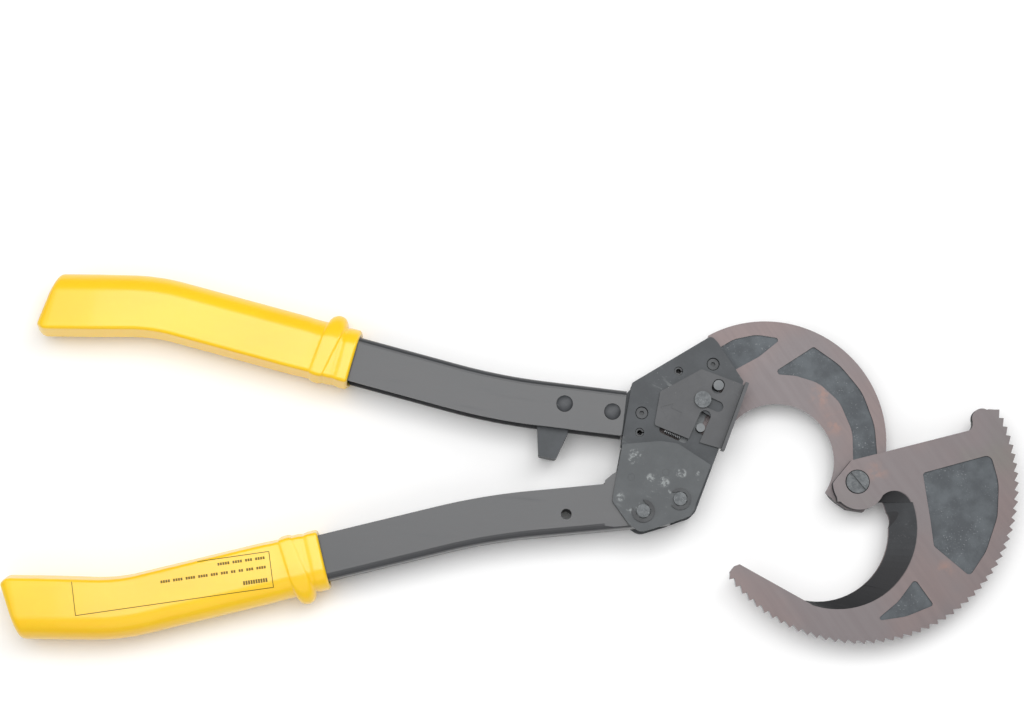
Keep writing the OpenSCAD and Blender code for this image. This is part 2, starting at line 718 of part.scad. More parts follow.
// Coil spring in the window of the front plate
module release_spring() color([0.62, 0.62, 0.64]) {
    r = 0.35;
    coil_r = 1.05;
    turns = 9;
    steps = 12;
    length = 10.5;
    translate([-116.2, 29.7, mid_z + plate_in + 1.5]) rotate([0, 0, -24])
        wire([for (i = [0 : turns * steps]) [length * i / (turns * steps),
            coil_r * cos(360 * i / steps), coil_r * sin(360 * i / steps)]], r, 6);
}

fixed_blade();
moving_blade();
pivot_bolt();
pivot_washer();
pivot_nut();
front_head_plate();
back_head_plate();
handle_tongue();
nose_spacer();
head_screws();
head_dowels();
upper_channel();
upper_grip();
tongue_rivets();
tongue_spacers();
fulcrum_pin();
fulcrum_clip();
lower_channel();
lower_grip();
front_cheek_plate();
back_cheek_plate();
cheek_rivets();
drive_pin();
drive_pin_clip();
drive_pawl();
drive_pawl_spring();
holding_pawl();
holding_pawl_spring();
release_slide();
guide_pin();
release_spring();
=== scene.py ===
"""Visual model of a two-handed ratchet cable cutter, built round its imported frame."""
import json
import logging
import math
from dataclasses import dataclass, field
from enum import Enum

import bmesh
import bpy
from mathutils import Euler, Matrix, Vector
from mathutils.bvhtree import BVHTree

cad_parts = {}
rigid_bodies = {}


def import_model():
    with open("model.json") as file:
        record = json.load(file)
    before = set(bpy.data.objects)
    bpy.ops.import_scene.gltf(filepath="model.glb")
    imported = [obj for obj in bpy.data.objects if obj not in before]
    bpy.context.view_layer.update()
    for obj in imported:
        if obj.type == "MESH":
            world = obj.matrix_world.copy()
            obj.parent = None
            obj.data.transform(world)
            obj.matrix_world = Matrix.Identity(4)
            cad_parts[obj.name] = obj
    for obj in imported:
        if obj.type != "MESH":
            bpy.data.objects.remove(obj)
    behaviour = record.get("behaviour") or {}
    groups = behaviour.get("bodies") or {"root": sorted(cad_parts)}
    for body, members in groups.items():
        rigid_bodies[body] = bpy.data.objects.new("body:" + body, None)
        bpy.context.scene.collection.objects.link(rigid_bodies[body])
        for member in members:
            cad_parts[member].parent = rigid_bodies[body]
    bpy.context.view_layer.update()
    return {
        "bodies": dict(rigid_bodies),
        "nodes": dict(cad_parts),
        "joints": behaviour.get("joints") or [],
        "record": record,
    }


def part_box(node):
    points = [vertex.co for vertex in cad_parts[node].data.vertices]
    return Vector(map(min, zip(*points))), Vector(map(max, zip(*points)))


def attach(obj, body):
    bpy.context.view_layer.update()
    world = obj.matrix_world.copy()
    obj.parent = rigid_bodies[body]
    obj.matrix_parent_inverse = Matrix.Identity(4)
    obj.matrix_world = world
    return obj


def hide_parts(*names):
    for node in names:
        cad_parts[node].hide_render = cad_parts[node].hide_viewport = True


LOG = logging.getLogger("cable_cutter")
MM = 0.001
REST_HALF = 16 * MM

Colour = tuple[float, float, float]
Point = tuple[float, float, float]
Flat = tuple[float, float]


def srgb(red: float, green: float, blue: float) -> Colour:
    """A linear colour from display values between 0 and 255."""
    return tuple(((v / 255 + 0.055) / 1.055) ** 2.4 if v > 10 else v / 3295 for v in (red, green, blue))


# ---------------------------------------------------------------- shader maths


class Value:
    """A number that varies over a surface; arithmetic on it adds Math nodes."""

    def __init__(self, shader: "Shader", socket: bpy.types.NodeSocket) -> None:
        """Wraps an output socket of a shader's tree."""
        self.shader = shader
        self.socket = socket

    def math(self, operation: str, *others: "Value | float", clamp: bool = False) -> "Value":
        """Adds a Math node on this value.

        Args:
            operation: the Math node's operation.
            others: its other inputs.
            clamp: whether the result is kept between 0 and 1.

        Returns:
            The node's result.
        """
        values = {i: v for i, v in enumerate((self, *others))}
        node = self.shader.node("ShaderNodeMath", {"operation": operation, "use_clamp": clamp}, values)
        return Value(self.shader, node.outputs[0])

    def __add__(self, other: "Value | float") -> "Value":
        """The sum."""
        return self.math("ADD", other)

    def __radd__(self, other: float) -> "Value":
        """The sum, with a number first."""
        return self.math("ADD", other)

    def __sub__(self, other: "Value | float") -> "Value":
        """The difference."""
        return self.math("SUBTRACT", other)

    def __rsub__(self, other: float) -> "Value":
        """The difference, with a number first."""
        return (self * -1) + other

    def __mul__(self, other: "Value | float") -> "Value":
        """The product."""
        return self.math("MULTIPLY", other)

    def __rmul__(self, other: float) -> "Value":
        """The product, with a number first."""
        return self.math("MULTIPLY", other)

    def smooth(self, low: float, high: float) -> "Value":
        """Rises smoothly from 0 at low to 1 at high.

        Args:
            low: where the result is 0.
            high: where the result is 1; it may lie below low.

        Returns:
            The mask.
        """
        node = self.shader.node(
            "ShaderNodeMapRange",
            {"interpolation_type": "SMOOTHSTEP"},
            {"Value": self, "From Min": min(low, high), "From Max": max(low, high)},
        )
        rising = Value(self.shader, node.outputs["Result"])
        return rising if low < high else 1 - rising


class Shader:
    """A material's node tree, with one Principled shader at its end."""

    def __init__(self, name: str, **constants: float | Colour) -> None:
        """Makes the material.

        Args:
            name: the material's name.
            constants: values of the shader's own sockets, with underscores for spaces.
        """
        self.material = bpy.data.materials.new(name)
        self.material.use_nodes = True
        self.tree = self.material.node_tree
        self.tree.nodes.clear()
        self.surface = self.tree.nodes.new("ShaderNodeBsdfPrincipled")
        self.output = self.tree.nodes.new("ShaderNodeOutputMaterial")
        self.tree.links.new(self.surface.outputs[0], self.output.inputs["Surface"])
        for key, value in constants.items():
            socket = self.surface.inputs[key.replace("_", " ")]
            socket.default_value = (*value, 1) if isinstance(value, tuple) else value
        self.position = self.node("ShaderNodeTexCoord").outputs["Object"]
        self.bumps: list[tuple[Value, float, float]] = []

    def node(
        self,
        kind: str,
        settings: dict[str, object] | None = None,
        inputs: dict[int | str, object] | None = None,
    ) -> bpy.types.Node:
        """Adds a node.

        Args:
            kind: the node's type.
            settings: its properties; a ramp's stops are given under "stops".
            inputs: values or links of its sockets, by name or number.

        Returns:
            The node.
        """
        node = self.tree.nodes.new(kind)
        for key, value in (settings or {}).items():
            if key == "stops":
                self._set_stops(node.color_ramp, value)
            else:
                setattr(node, key, value)
        for key, value in (inputs or {}).items():
            socket = node.inputs[key]
            if isinstance(value, Value):
                self.tree.links.new(value.socket, socket)
            elif isinstance(value, bpy.types.NodeSocket):
                self.tree.links.new(value, socket)
            elif isinstance(value, tuple) and len(socket.default_value) == 4:
                socket.default_value = (*value, 1)
            else:
                socket.default_value = value
        return node

    @staticmethod
    def _set_stops(ramp: bpy.types.ColorRamp, stops: list[tuple[float, Colour]]) -> None:
        """Gives a colour ramp its stops."""
        while len(ramp.elements) < len(stops):
            ramp.elements.new(0.5)
        for element, (place, colour) in zip(ramp.elements, stops):
            element.position = place
            element.color = (*colour, 1)

    def noise(
        self,
        scale: float,
        detail: float = 4,
        stretch: Point = (1, 1, 1),
        turn: float = 0,
        offset: float = 0,
        roughness: float = 0.55,
    ) -> Value:
        """A noise value between 0 and 1.

        Args:
            scale: how many blotches there are to a metre.
            detail: octaves.
            stretch: scale of each axis; a small number draws streaks along that axis.
            turn: turn of the streaks about the vertical, in degrees.
            offset: moves the pattern, so that two of them differ.
            roughness: strength of the finer octaves.

        Returns:
            The noise.
        """
        turned = self.node(
            "ShaderNodeVectorRotate", {"rotation_type": "Z_AXIS"},
            {"Vector": self.position, "Angle": math.radians(-turn)},
        )
        place = self.node("ShaderNodeMapping", None, {
            "Vector": turned.outputs[0], "Location": (offset, offset, offset), "Scale": stretch,
        })
        node = self.node("ShaderNodeTexNoise", None, {
            "Vector": place.outputs[0], "Scale": scale, "Detail": detail, "Roughness": roughness,
        })
        return Value(self, node.outputs[0])

    def axis(self, index: int) -> Value:
        """One coordinate of the surface, in metres."""
        node = self.node("ShaderNodeSeparateXYZ", None, {0: self.position})
        return Value(self, node.outputs[index])

    def reach(self, centre: Flat) -> Value:
        """How far the surface lies from an upright line."""
        moved = self.node("ShaderNodeVectorMath", {"operation": "SUBTRACT"}, {
            0: self.position, 1: (centre[0], centre[1], 0),
        })
        level = self.node("ShaderNodeVectorMath", {"operation": "MULTIPLY"}, {
            0: moved.outputs[0], 1: (1, 1, 0),
        })
        length = self.node("ShaderNodeVectorMath", {"operation": "LENGTH"}, {0: level.outputs[0]})
        return Value(self, length.outputs["Value"])

    def near(self, centre: Flat, radius: float) -> Value:
        """A soft round patch: 1 at its centre and 0 from its radius on."""
        return self.reach(centre).smooth(radius, 0)

    def facing(self) -> Value:
        """How squarely the surface faces up or down, from 0 to 1."""
        geometry = self.node("ShaderNodeNewGeometry")
        parts = self.node("ShaderNodeSeparateXYZ", None, {0: geometry.outputs["Normal"]})
        return Value(self, parts.outputs[2]).math("ABSOLUTE")

    def mix(self, mask: Value, low: object, high: object) -> bpy.types.NodeSocket:
        """Mixes two colours.

        Args:
            mask: 0 gives low and 1 gives high.
            low: a colour or a colour socket.
            high: the same.

        Returns:
            The mixed colour's socket.
        """
        node = self.node("ShaderNodeMix", {"data_type": "RGBA"}, {0: mask, 6: low, 7: high})
        return node.outputs[2]

    def colour(self, socket: bpy.types.NodeSocket) -> None:
        """Sets the base colour."""
        self.tree.links.new(socket, self.surface.inputs["Base Color"])

    def drive(self, name: str, value: Value) -> None:
        """Lets a value drive one of the shader's sockets."""
        self.tree.links.new(value.socket, self.surface.inputs[name])

    def bump(self, height: Value, strength: float, distance: float = 0.0002) -> None:
        """Adds relief; each call stands on the one before."""
        inputs = {"Height": height, "Strength": strength, "Distance": distance}
        if self.bumps:
            inputs["Normal"] = self.bumps[-1]
        node = self.node("ShaderNodeBump", None, inputs)
        self.bumps.append(node.outputs[0])
        link = self.surface.inputs["Normal"].links
        if link:
            self.tree.links.remove(link[0])
        self.tree.links.new(node.outputs[0], self.surface.inputs["Normal"])


# -------------------------------------------------------------------- finishes


@dataclass(frozen=True)
class GroundSteel:
    """Blade steel: ground faces with a brown oxide tint, slate-grey milled panels, and painted shade on the
    sloping faces.
    """

    name: str
    face_z: float
    back_z: float
    oxide: Colour = srgb(114, 107, 108)
    rose: Colour = srgb(120, 107, 106)
    olive: Colour = srgb(108, 108, 103)
    slate: Colour = srgb(92, 97, 101)
    deep: Colour = srgb(76, 80, 84)
    fleck: Colour = srgb(150, 154, 156)
    # Painted shade: near-black colour for sloping faces such as the cutting bevel and the pocket walls.
    bevel: Colour = srgb(44, 44, 46)
    bare: Colour = srgb(176, 176, 178)
    tooth_root: float = 94.4 * MM
    tints: tuple[tuple[Flat, float], ...] = ()

    def build(self) -> bpy.types.Material:
        """Makes the material; faces at face_z and back_z are ground, the rest is slate, with painted shade
        where faces slope away from up or down.
        """
        shader = Shader(self.name, Metallic=0.35, Specular_IOR_Level=0.45)
        height = shader.axis(2)
        near = 0.12 * MM
        on_face = (height - self.face_z).math("ABSOLUTE").smooth(2 * near, near)
        on_back = (height - self.back_z).math("ABSOLUTE").smooth(2 * near, near)
        ground = on_face.math("MAXIMUM", on_back) * shader.facing().smooth(0.85, 0.97)
        drift = shader.noise(16, 3, offset=3)
        streaks = shader.noise(260, 3, (1, 0.05, 1), 35, offset=1)
        fine = shader.noise(1500, 2, (1, 0.06, 1), 35)
        tint = shader.mix(drift.smooth(0.42, 0.68), self.oxide, self.rose)
        tint = shader.mix(shader.noise(11, 3, offset=9).smooth(0.56, 0.72) * 0.7, tint, self.olive)
        tint = shader.mix(streaks.smooth(0.3, 0.75) * 0.28, tint, srgb(98, 89, 90))
        scratch = shader.noise(70, 2, (1, 0.02, 1), 118, offset=6).smooth(0.7, 0.76)
        tint = shader.mix(scratch * 0.3, tint, srgb(168, 158, 156))
        ragged = shader.noise(160, 5, offset=14).smooth(0.42, 0.62)
        for centre, radius in self.tints:
            tint = shader.mix(shader.near(centre, radius) * ragged * 0.35, tint, srgb(160, 118, 100))
        cast = shader.mix(shader.noise(90, 5, offset=2).smooth(0.35, 0.7), self.deep, self.slate)
        specks = shader.noise(900, 2, offset=4).smooth(0.6, 0.72)
        cast = shader.mix(specks * shader.noise(45, 3, offset=8).smooth(0.45, 0.6) * 0.5, cast, self.fleck)
        # Painted shade: faces that slope away from up or down, the bevel and the pocket walls, turn
        # near-black.
        cast = shader.mix(shader.facing().smooth(0.985, 0.93), cast, self.bevel)
        teeth = shader.reach((0.0, 0.0)).smooth(self.tooth_root, self.tooth_root + 0.3 * MM)
        cast = shader.mix(teeth * shader.facing().smooth(0.6, 0.3), cast, self.bare)
        shader.colour(shader.mix(ground, cast, tint))
        shader.drive("Roughness", 0.6 - ground * 0.17 + (fine - 0.5) * 0.12)
        shader.bump(shader.noise(1300, 3, offset=5) * (1 - ground), 0.35)
        shader.bump(fine * ground, 0.12, 0.0001)
        return shader.material


@dataclass(frozen=True)
class Phosphate:
    """Dark phosphated plate with pale scuffs and small chips."""

    name: str
    base: Colour = srgb(70, 73, 76)
    dark: Colour = srgb(56, 59, 62)
    scuff: Colour = srgb(158, 162, 162)
    scuffing: float = 0.35
    rough: float = 0.5
    chips: float = 0.0
    worn: tuple[tuple[Flat, float], ...] = ()

    def build(self) -> bpy.types.Material:
        """Makes the material; chips adds larger pale patches."""
        shader = Shader(self.name, Metallic=0.25, Specular_IOR_Level=0.45)
        cloud = shader.noise(70, 5, offset=1)
        colour = shader.mix(cloud.smooth(0.35, 0.68), self.dark, self.base)
        haze = shader.noise(38, 4, offset=7).smooth(0.5, 0.72)
        rub = shader.noise(420, 3, (1, 0.22, 1), 60, offset=4).smooth(0.6, 0.74)
        colour = shader.mix(haze * rub * self.scuffing, colour, self.scuff)
        specks = shader.noise(1100, 2, offset=2).smooth(0.66, 0.74)
        colour = shader.mix(specks * haze * 0.5, colour, self.scuff)
        if self.chips:
            where = shader.noise(90, 3, offset=12, roughness=0.7).smooth(0.63, 0.7)
            ragged = shader.noise(520, 4, offset=11).smooth(0.42, 0.56)
            colour = shader.mix(where * ragged * self.chips, colour, self.scuff)
        ragged = shader.noise(330, 5, offset=15, roughness=0.7).smooth(0.45, 0.6)
        for centre, radius in self.worn:
            patch = shader.near(centre, radius).smooth(0.1, 0.6) * ragged * 0.6
            colour = shader.mix(patch, colour, self.scuff)
        shader.colour(colour)
        grain = shader.noise(2200, 3)
        shader.drive("Roughness", self.rough + (cloud - 0.5) * 0.25 + haze * rub * 0.1)
        shader.bump(grain, 0.22, 0.0001)
        shader.bump(cloud, 0.1, 0.0003)
        return shader.material


@dataclass(frozen=True)
class ChannelPaint:
    """Satin black paint on pressed sheet, with faint dust and rubs along its length."""

    name: str = "channel_paint"
    base: Colour = srgb(42, 43, 46)
    worn: Colour = srgb(84, 87, 90)

    def build(self) -> bpy.types.Material:
        """Makes the material."""
        shader = Shader(self.name, Specular_IOR_Level=0.6, Coat_Roughness=0.3, Coat_Weight=0.25)
        cloud = shader.noise(22, 4, (1, 3, 1), offset=2)
        rubs = shader.noise(240, 3, (0.08, 1, 1), -10, offset=5).smooth(0.62, 0.78)
        dust = shader.noise(1500, 2, offset=3).smooth(0.7, 0.78)
        colour = shader.mix(cloud.smooth(0.35, 0.7), self.base, srgb(48, 50, 53))
        colour = shader.mix(rubs * 0.3, colour, self.worn)
        colour = shader.mix(dust * 0.25, colour, srgb(120, 122, 125))
        shader.colour(colour)
        shader.drive("Roughness", 0.3 + cloud * 0.12 + rubs * 0.15)
        shader.bump(shader.noise(900, 2, offset=1), 0.12, 0.0001)
        return shader.material


@dataclass(frozen=True)
class DippedVinyl:
    """Glossy yellow vinyl with a soft skin, faint flow marks and handling dust."""

    name: str = "grip_vinyl"
    base: Colour = srgb(252, 206, 2)
    deep: Colour = srgb(248, 196, 0)

    def build(self) -> bpy.types.Material:
        """Makes the material."""
        shader = Shader(
            self.name, Specular_IOR_Level=0.55, Coat_Roughness=0.12, Coat_Weight=0.35,
            Subsurface_Weight=0.08, Subsurface_Scale=0.004,
        )
        flow = shader.noise(14, 3, (0.4, 1.4, 1), offset=3)
        mottle = shader.noise(120, 4, offset=5)
        grime = shader.noise(260, 5, offset=8).smooth(0.66, 0.8)
        colour = shader.mix(flow.smooth(0.35, 0.7), self.base, self.deep)
        colour = shader.mix(mottle.smooth(0.5, 0.8) * 0.08, colour, srgb(255, 224, 60))
        colour = shader.mix(grime * 0.1, colour, srgb(190, 150, 20))
        shader.colour(colour)
        shader.drive("Roughness", 0.26 + mottle * 0.1 + grime * 0.12)
        shader.bump(shader.noise(420, 3, offset=1), 0.06, 0.0002)
        shader.bump(shader.noise(30, 2, offset=6), 0.15, 0.0006)
        return shader.material


@dataclass(frozen=True)
class TurnedSteel:
    """Oiled steel turned on a lathe: fine rings round one or more centres."""

    name: str
    centres: tuple[Flat, ...]
    base: Colour = srgb(102, 105, 107)
    dark: Colour = srgb(76, 79, 81)
    rings: float = 2600

    def build(self) -> bpy.types.Material:
        """Makes the material."""
        shader = Shader(self.name, Metallic=0.55, Specular_IOR_Level=0.5)
        radius = shader.reach(self.centres[0])
        for centre in self.centres[1:]:
            radius = radius.math("MINIMUM", shader.reach(centre))
        ring = (radius * (self.rings * math.tau)).math("SINE") * 0.5 + 0.5
        mottle = shader.noise(380, 4, offset=3)
        colour = shader.mix(mottle.smooth(0.35, 0.66), self.dark, self.base)
        colour = shader.mix(shader.noise(1500, 2).smooth(0.62, 0.72) * 0.35, colour, srgb(190, 192, 192))
        shader.colour(colour)
        shader.drive("Roughness", 0.36 + mottle * 0.24)
        shader.bump(ring, 0.12, 0.0001)
        shader.bump(mottle, 0.15, 0.0001)
        return shader.material


@dataclass(frozen=True)
class SpringWire:
    """Bright drawn wire."""

    name: str = "spring_wire"

    def build(self) -> bpy.types.Material:
        """Makes the material."""
        shader = Shader(self.name, Metallic=0.85)
        mottle = shader.noise(700, 3)
        shader.colour(shader.mix(mottle.smooth(0.3, 0.7), srgb(120, 122, 124), srgb(180, 182, 184)))
        shader.drive("Roughness", 0.28 + mottle * 0.2)
        shader.bump(mottle, 0.1, 0.0001)
        return shader.material


@dataclass(frozen=True)
class PrintInk:
    """Matt ink printed on vinyl, a little broken where it is rubbed."""

    name: str = "label_ink"

    def build(self) -> bpy.types.Material:
        """Makes the material."""
        shader = Shader(self.name, Specular_IOR_Level=0.3)
        worn = shader.noise(900, 3).smooth(0.62, 0.75)
        shader.colour(shader.mix(worn * 0.5, srgb(112, 92, 12), srgb(176, 146, 14)))
        shader.drive("Roughness", 0.5 + worn * 0.2)
        return shader.material


@dataclass(frozen=True)
class Paper:
    """Plain pale floor."""

    name: str = "studio_floor"

    def build(self) -> bpy.types.Material:
        """Makes the material."""
        shader = Shader(self.name, Roughness=0.9, Specular_IOR_Level=0.1)
        shader.colour(shader.mix(shader.noise(6, 2), srgb(252, 252, 252), srgb(255, 255, 255)))
        return shader.material


# ---------------------------------------------------------------- mesh helpers


class Body(Enum):
    """The bodies that carry the pieces made here."""

    HEAD = "head"
    LOWER_HANDLE = "lower_handle"


def mesh_object(
    name: str, points: list[Point], faces: list[tuple[int, ...]], smooth: bool
) -> bpy.types.Object:
    """Makes an object from points and faces, with its faces turned outwards.

    Args:
        name: the object's name.
        points: vertices in the row frame, in metres.
        faces: vertex numbers of each face.
        smooth: whether it is shaded smooth.

    Returns:
        The object, linked to the scene.
    """
    mesh = bpy.data.meshes.new(name)
    work = bmesh.new()
    made = [work.verts.new(p) for p in points]
    for face in faces:
        work.faces.new([made[i] for i in face])
    bmesh.ops.recalc_face_normals(work, faces=work.faces[:])
    for face in work.faces:
        face.smooth = smooth
    work.to_mesh(mesh)
    work.free()
    piece = bpy.data.objects.new(name, mesh)
    bpy.context.scene.collection.objects.link(piece)
    return piece


def skin(rings: list[list[Point]]) -> tuple[list[Point], list[tuple[int, ...]]]:
    """Joins rings of equal length into a skin that is open at both ends.

    Args:
        rings: closed rings of points.

    Returns:
        The points and the faces.
    """
    count = len(rings[0])
    points = [p for ring in rings for p in ring]
    faces: list[tuple[int, ...]] = []
    for i in range(len(rings) - 1):
        for k in range(count):
            a, b = i * count + k, i * count + (k + 1) % count
            faces.append((a, b, b + count, a + count))
    return points, faces


def round_corner(
    corner: tuple[float, float, float, int],
    before: tuple[float, float, float, int],
    after: tuple[float, float, float, int],
) -> list[Flat]:
    """The arc that rounds a corner of an outline.

    Args:
        corner: the corner's place, radius and number of steps.
        before: the corner before it.
        after: the corner after it.

    Returns:
        The arc's points.
    """
    here = Vector(corner[:2])
    back, ahead = (Vector(before[:2]) - here).normalized(), (Vector(after[:2]) - here).normalized()
    half = back.angle(ahead) / 2
    centre = here + (back + ahead).normalized() * corner[2] / math.sin(half)
    start = here + back * corner[2] / math.tan(half) - centre
    turn = math.pi - 2 * half
    steps = corner[3]
    points = []
    for k in range(steps + 1):
        angle = turn * k / steps
        x = start.x * math.cos(angle) - start.y * math.sin(angle)
        y = start.x * math.sin(angle) + start.y * math.cos(angle)
        points.append((centre.x + x, centre.y + y))
    return points


def between(start: Flat, end: Flat, parts: int) -> list[Flat]:
    """Points between two ends of a straight stretch, closer together towards its ends."""
    shares = [0.5 - 0.5 * math.cos(math.pi * k / parts) for k in range(1, parts)]
    return [(start[0] + (end[0] - start[0]) * t, start[1] + (end[1] - start[1]) * t) for t in shares]


def paint(piece: bpy.types.Object, material: bpy.types.Material) -> None:
    """Gives every slot of an object one material, adding a slot where it has none."""
    if not piece.material_slots:
        piece.data.materials.append(material)
    for entry in piece.material_slots:
        entry.material = material


def soften(piece: bpy.types.Object, width: float, segments: int = 2, angle: float = 40) -> None:
    """Rounds a frame node's sharp edges a little, as deburred steel is.

    Args:
        piece: the node's object.
        width: width of the rounding, in metres.
        segments: faces across it.
        angle: edges sharper than this many degrees are rounded.
    """
    weld = piece.modifiers.new("weld", "WELD")
    weld.merge_threshold = 2e-6
    bevel = piece.modifiers.new("deburr", "BEVEL")
    bevel.width = width
    bevel.segments = segments
    bevel.limit_method = "ANGLE"
    bevel.angle_limit = math.radians(angle)
    bevel.use_clamp_overlap = True
    bevel.harden_normals = False


# ------------------------------------------------------------------------ grips


@dataclass
class Grip:
    """A dipped vinyl grip: a bent sleeve with a collar, a slanting guard bead and a slanted butt."""

    name: str
    node: str
    body: Body
    start: Flat
    heading: float
    side: int
    straight: float = 110.5 * MM
    bend: float = 30 * MM
    bend_turn: float = 14.7
    tail: float = 50.5 * MM
    half_height: float = 18.4 * MM
    half_width: float = 14.9 * MM
    outer_round: float = 12.5 * MM
    inner_round: float = 2.2 * MM
    parting_round: float = 1.2 * MM
    draft: float = 2.8 * MM
    crown: float = 0.4 * MM
    collar: float = 9 * MM
    guard_at: float = 15 * MM
    guard_slant: float = 5 * MM
    guard_rise: float = 5.6 * MM
    guard_ridge: float = 1.1 * MM
    guard_inner_width: float = 4.0 * MM
    guard_widening: float = 1.8 * MM
    guard_side_rise: float = 0.6 * MM
    mouth_depth: float = 3.6 * MM
    mouth_scale: Flat = (0.80, 0.78)
    lip_length: float = 1.6 * MM
    butt_round: float = 7 * MM
    slant: float = 5.5 * MM
    flat_parts: int = 9

    @property
    def length(self) -> float:
        """Length along the middle of the grip."""
        return self.straight + self.bend + self.tail

    def pose(self, distance: float) -> tuple[float, float, float]:
        """The place and heading on the middle line.

        Args:
            distance: how far behind the collar's face; the last leg is long, as the butt's slant passes it.

        Returns:
            The place, and the heading in radians.
        """
        legs = ((self.straight, 0.0), (self.bend, self.bend_turn), (2 * self.tail, 0.0))
        heading = math.radians(self.heading)
        x, y = self.start
        for length, degrees in legs:
            run = min(distance, length)
            after = heading - math.radians(degrees) * self.side * run / length
            middle = (heading + after) / 2
            x, y = x + run * math.cos(middle), y + run * math.sin(middle)
            distance, heading = distance - run, after
        return x, y, heading

    def outline(self) -> list[Flat]:
        """The section: well rounded outside, creased on the inner side and parted down its middle."""
        keel = self.half_height - self.draft
        corners = (
            (self.half_height, -self.half_width, self.outer_round, 14),
            (self.half_height, self.half_width, self.outer_round, 14),
            (-keel, self.half_width, self.inner_round, 6),
            (-self.half_height, 0.0, self.parting_round, 4),
            (-keel, -self.half_width, self.inner_round, 6),
        )
        arcs = [round_corner(corners[k], corners[k - 1], corners[(k + 1) % 5]) for k in range(5)]
        outline: list[Flat] = []
        for k, arc in enumerate(arcs):
            outline += arc
            outline += between(arc[-1], arcs[(k + 1) % 5][0], self.flat_parts)
        return [(u, v + self.crown * (1 - (u / self.half_height) ** 2) * math.copysign(1, v) * abs(v) /
                 self.half_width) for u, v in outline]

    def guard(self, distance: float, u: float) -> float:
        """How far the guard bead stands out at a place on the sleeve."""
        outward = (u / self.half_height + 1) / 2
        middle = self.guard_at + self.guard_slant * (1 - outward)
        width = self.guard_inner_width + self.guard_widening * outward
        bead = math.sqrt(max(0.0, 1 - ((distance - middle) / width) ** 2))
        return bead * (self.guard_ridge + (self.guard_rise - self.guard_ridge) * outward**5)

    def swell(self, distance: float) -> float:
        """Scale of the section along the grip: rolled collar lip, waist, and rounded butt."""
        lip = 1 - 0.07 * max(0.0, 1 - distance / self.lip_length) ** 2
        waist = -0.03 * math.exp(-(((distance - self.collar) / self.lip_length) ** 2))
        behind = -0.02 * math.exp(-(((distance - self.guard_at - 11 * MM) / (6 * MM)) ** 2))
        heel = 0.035 * max(0.0, min(1.0, (distance - self.straight) / self.tail))
        edge = max(0.0, (distance - self.length + self.butt_round) / self.butt_round)
        return (lip + waist + behind + heel) * (1 - 0.2 * edge**3.2)

    def stations(self) -> list[float]:
        """Distances of the rings: close together at the collar, the bead and the butt."""
        places = [0.5 * MM * k for k in range(64)]
        while places[-1] < self.length - 10 * MM:
            places.append(places[-1] + 2.2 * MM)
        return places + [self.length - self.butt_round * (1 - k / 14) for k in range(15)]

    def build(self) -> bpy.types.Object:
        """Makes the sleeve's mesh, open at the collar with a turned-in lip.

        Returns:
            The grip.
        """
        outline = self.outline()
        rings = []
        inner = [(u * self.mouth_scale[0], v * self.mouth_scale[1]) for u, v in outline]
        for depth in (self.mouth_depth, 0.4 * MM):
            rings.append([self.place(depth, u, v) for u, v in inner])
        for distance in self.stations():
            scale = self.swell(distance)
            ring = []
            for u, v in outline:
                rise = self.guard(distance, u)
                reach = math.hypot(u, v)
                u_new = u * scale + rise * u / reach
                v_new = v * scale + min(rise, self.guard_side_rise) * v / reach
                butt = max(0.0, (distance - self.straight) / (self.length - self.straight))
                shift = -self.slant * u / self.half_height * butt**2
                ring.append(self.place(distance + shift, u_new, v_new))
            rings.append(ring)
        points, faces = skin(rings)
        count = len(outline)
        for ring, first in ((rings[-1], (len(rings) - 1) * count), (rings[0], 0)):
            middle = len(points)
            points.append(tuple(sum(p[i] for p in ring) / count for i in range(3)))
            faces += [(first + k, first + (k + 1) % count, middle) for k in range(count)]
        piece = mesh_object(self.name, points, faces, smooth=True)
        weld_doubles(piece, 1e-6)
        return piece

    def place(self, distance: float, u: float, v: float) -> Point:
        """A point of the grip: u is towards the tool's outside, and v is up."""
        x, y, heading = self.pose(distance)
        x += u * self.side * math.sin(heading) * -1
        y += u * self.side * math.cos(heading)
        return x, y, REST_HALF + v

    def dress(self, piece: bpy.types.Object, vinyl: bpy.types.Material) -> None:
        """Paints the grip and ties it to its body."""
        paint(piece, vinyl)
        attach(piece, self.body.value)
        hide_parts(self.node)
        LOG.info("%s: %d faces", piece.name, len(piece.data.polygons))


def weld_doubles(piece: bpy.types.Object, distance: float) -> None:
    """Merges points that coincide and turns the faces outwards."""
    work = bmesh.new()
    work.from_mesh(piece.data)
    bmesh.ops.remove_doubles(work, verts=work.verts[:], dist=distance)
    bmesh.ops.recalc_face_normals(work, faces=work.faces[:])
    work.to_mesh(piece.data)
    work.free()


# -------------------------------------------------------------- geometry nodes


